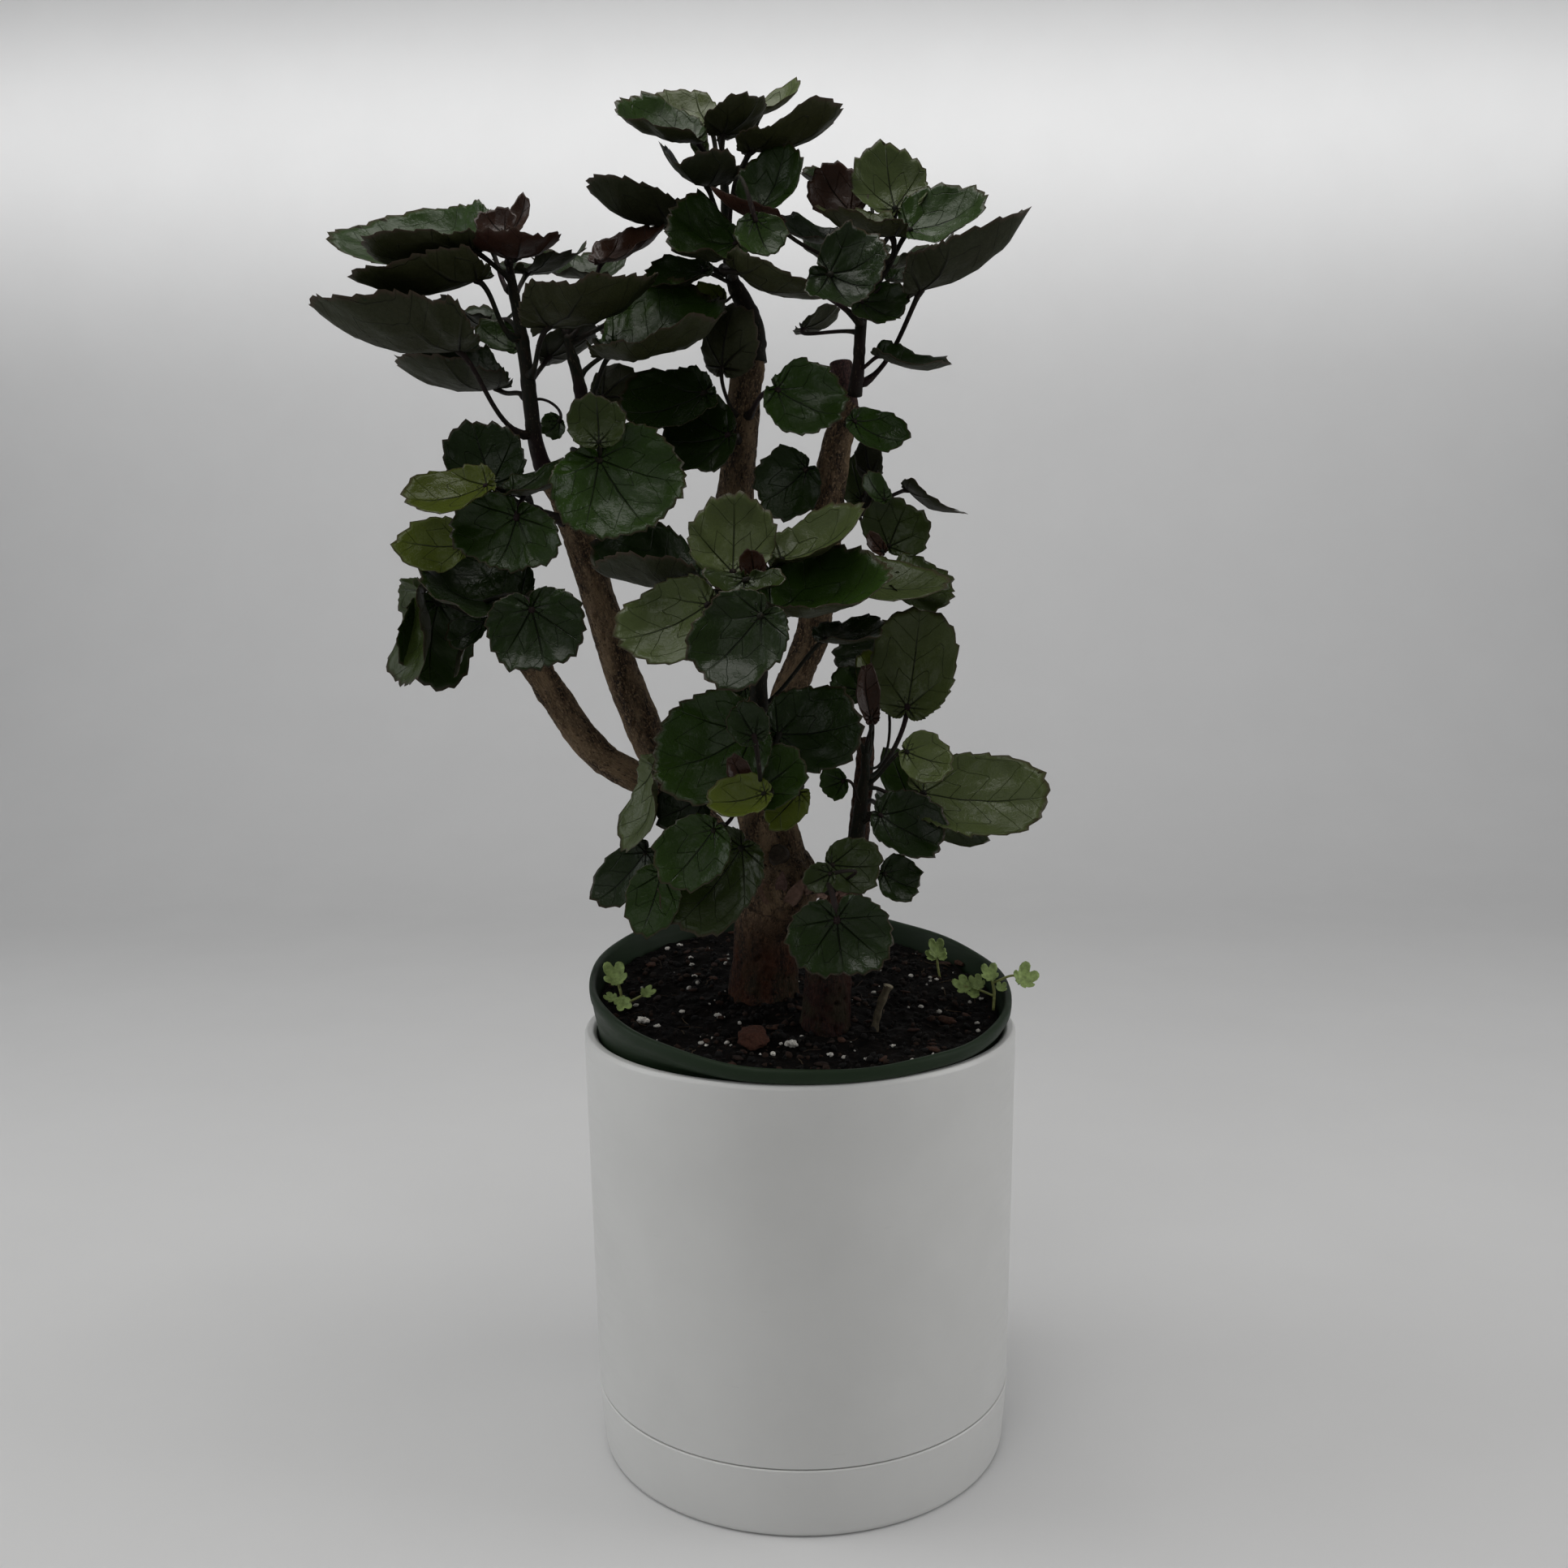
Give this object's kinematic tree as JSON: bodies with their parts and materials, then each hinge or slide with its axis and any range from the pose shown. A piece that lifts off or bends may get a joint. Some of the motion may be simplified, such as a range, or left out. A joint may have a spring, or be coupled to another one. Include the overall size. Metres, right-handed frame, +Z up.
{
  "type": "potted aralia",
  "caption": "Multi-stemmed aralia with round glossy leaves on woody canes, in a soft grower pot standing tilted inside a white cylindrical planter on its saucer.",
  "frame": {"origin": "on the floor under the saucer, on the planter's axis", "axes": "+Z up, -Y towards the plant's front, +X to the viewer's right"},
  "size_m": [0.2757, 0.1798, 0.5395],
  "materials": {
    "drainage_saucer": "satin white",
    "white_planter": "satin white",
    "grower_pot": "soft dark green blow-moulded",
    "potting_mix": "moist peat and perlite",
    "bark_chip": "rough bark",
    "twig_stub": "dry twig",
    "seedling": "thin pale leaf",
    "bark": "fissured brown bark",
    "bark_red": "reddish brown bark",
    "shoot": "dark green stems and leaves",
    "leaf": "glossy dark green leaf"
  },
  "bodies": {
    "root": {"bark_chip": "bark_chip", "drainage_saucer": "drainage_saucer", "grower_pot": "grower_pot", "leaf_centre_cane_1": "leaf", "leaf_centre_cane_2": "leaf", "leaf_centre_cane_3": "leaf", "leaf_centre_cane_4": "leaf", "leaf_centre_crown_1": "leaf", "leaf_centre_crown_11": "leaf", "leaf_centre_crown_13": "leaf", "leaf_centre_crown_5": "leaf", "leaf_centre_crown_8": "leaf", "leaf_fork_1": "leaf", "leaf_front_1": "leaf", "leaf_front_3": "leaf", "leaf_front_5": "leaf", "leaf_front_6": "leaf", "leaf_front_7": "leaf", "leaf_front_8": "leaf", "leaf_front_low_3": "leaf", "leaf_left_crown_1": "leaf", "leaf_left_crown_3": "leaf", "leaf_left_crown_4": "leaf", "leaf_left_crown_7": "leaf", "leaf_left_crown_9": "leaf", "leaf_left_inner_1": "leaf", "leaf_left_inner_5": "leaf", "leaf_left_low_3": "leaf", "leaf_low_left_4": "leaf", "leaf_right_cane_1": "leaf", "leaf_right_cane_2": "leaf", "leaf_right_crown_10": "leaf", "leaf_right_crown_6": "leaf", "leaf_right_low_1": "leaf", "leaf_right_low_2": "leaf", "potting_mix": "potting_mix", "seedling_back": "seedling", "seedling_left": "seedling", "seedling_right": "seedling", "shoot_centre_crown": "shoot", "shoot_far_left": "shoot", "shoot_front": "shoot", "shoot_front_fork": "shoot", "shoot_front_low": "shoot", "shoot_left_crown": "shoot", "shoot_left_inner": "shoot", "shoot_left_low": "shoot", "shoot_low_left": "shoot", "shoot_right_crown": "shoot", "shoot_right_low": "shoot", "shoot_right_middle": "shoot", "twig_stub": "twig_stub", "white_planter": "white_planter", "woody_side_stump": "bark_red", "woody_trunk_and_canes": "bark"}
  },
  "joints": []
}
